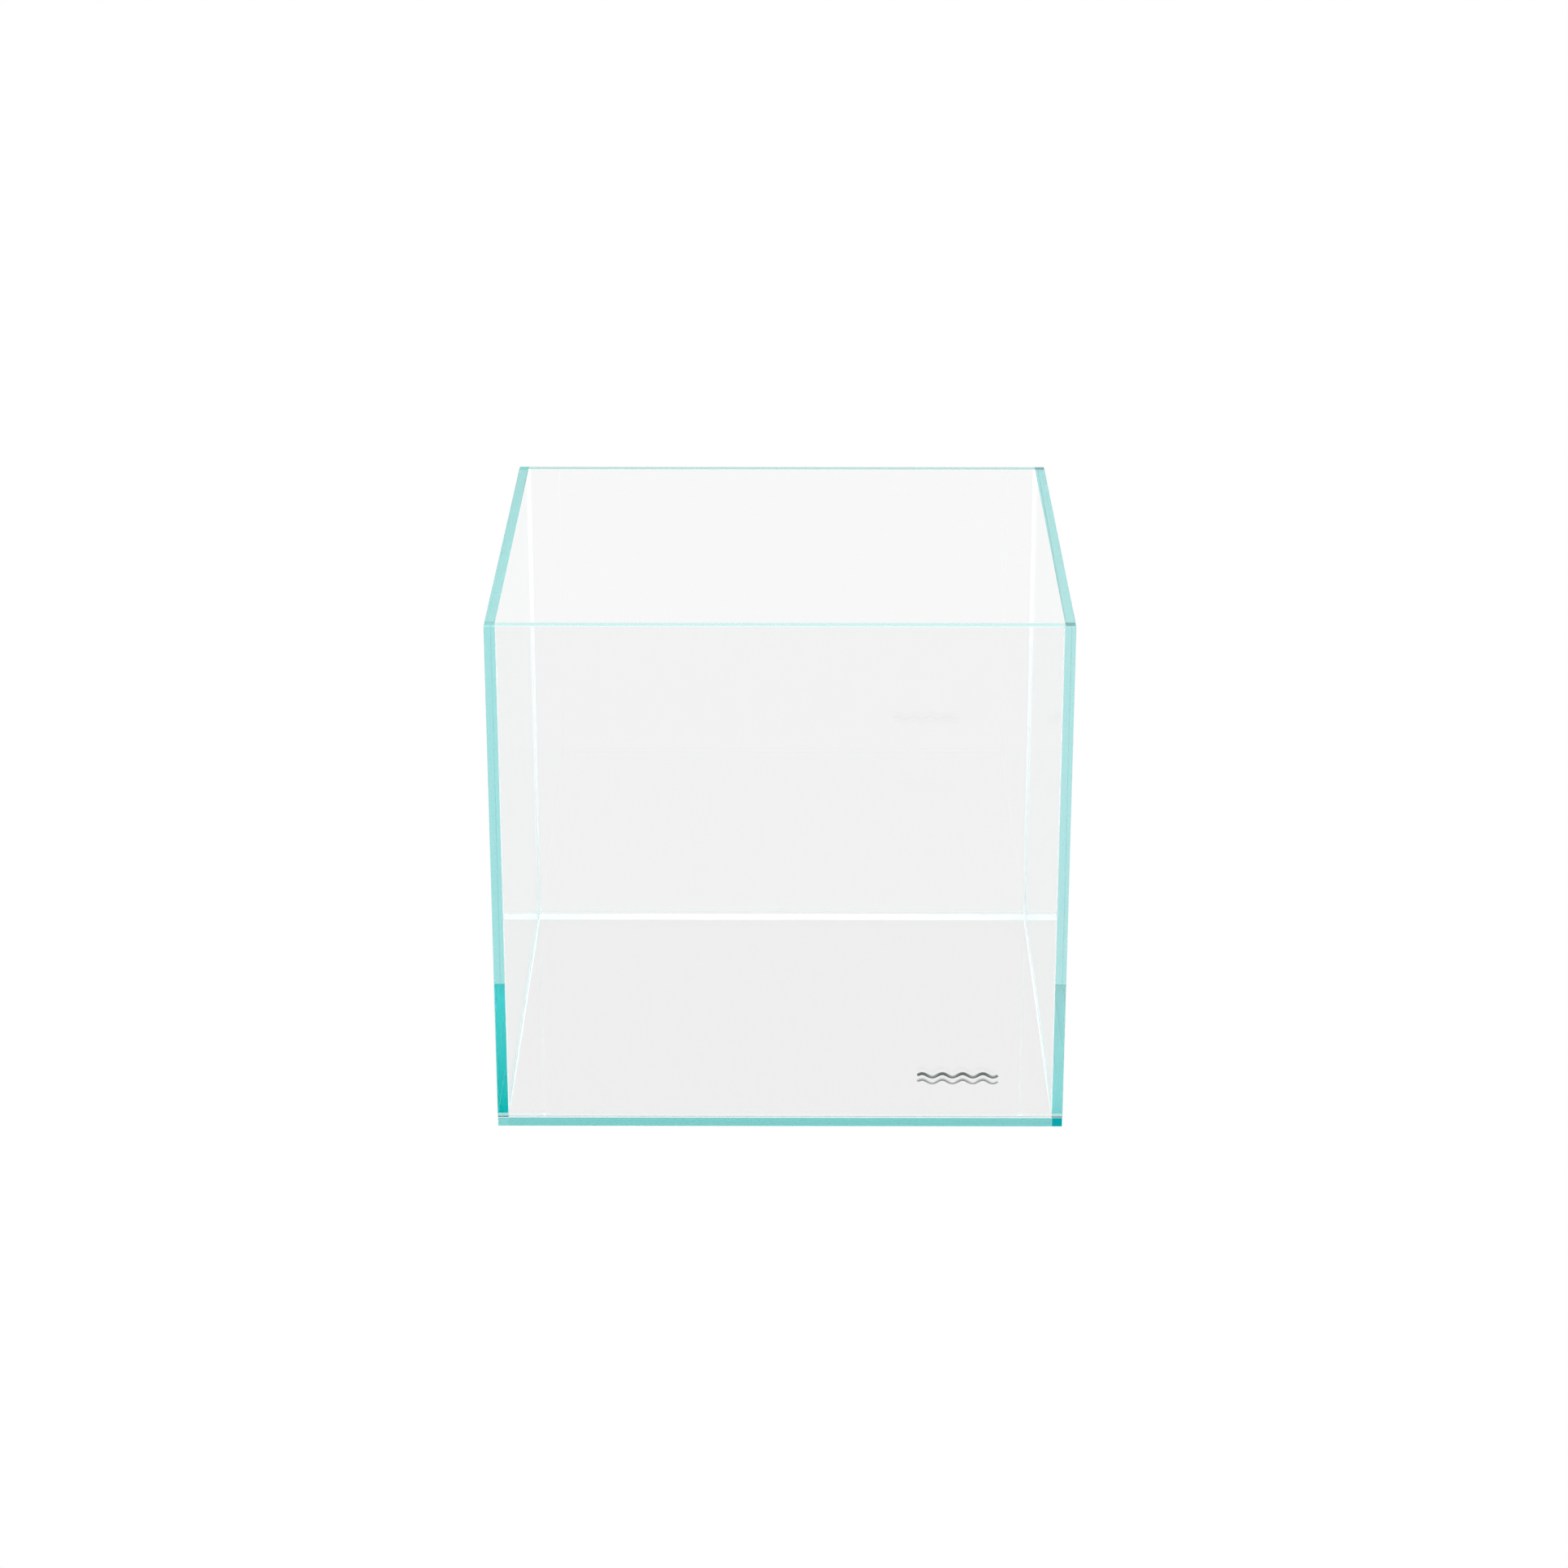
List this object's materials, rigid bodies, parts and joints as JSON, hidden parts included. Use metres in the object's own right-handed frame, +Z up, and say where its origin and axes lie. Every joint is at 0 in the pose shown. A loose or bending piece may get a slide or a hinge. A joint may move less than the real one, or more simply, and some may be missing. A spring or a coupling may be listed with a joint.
{
  "type": "rimless aquarium tank",
  "caption": "Rimless all-glass aquarium tank, nearly a cube, open at the top, with low-iron panes bonded by clear silicone and a small metal ripple badge.",
  "frame": {"origin": "centre of the underside of the base pane, on the surface that the tank stands on", "axes": "+X across the front to the viewer's right, +Y from the front pane to the rear pane, +Z up"},
  "size_m": [0.3, 0.2802, 0.281],
  "materials": {
    "low_iron_glass": "polished float glass with ground and polished cut edges",
    "clear_silicone": "clear neutral-cure silicone, tooled smooth",
    "badge_metal": "bright thin metal transfer"
  },
  "bodies": {
    "root": {"base_pane": "low_iron_glass", "front_pane": "low_iron_glass", "rear_pane": "low_iron_glass", "left_side_pane": "low_iron_glass", "right_side_pane": "low_iron_glass", "floor_seam_front": "clear_silicone", "floor_seam_rear": "clear_silicone", "floor_seam_left": "clear_silicone", "floor_seam_right": "clear_silicone", "corner_seam_front_left": "clear_silicone", "corner_seam_front_right": "clear_silicone", "corner_seam_rear_left": "clear_silicone", "corner_seam_rear_right": "clear_silicone", "ripple_badge": "badge_metal"}
  },
  "joints": []
}
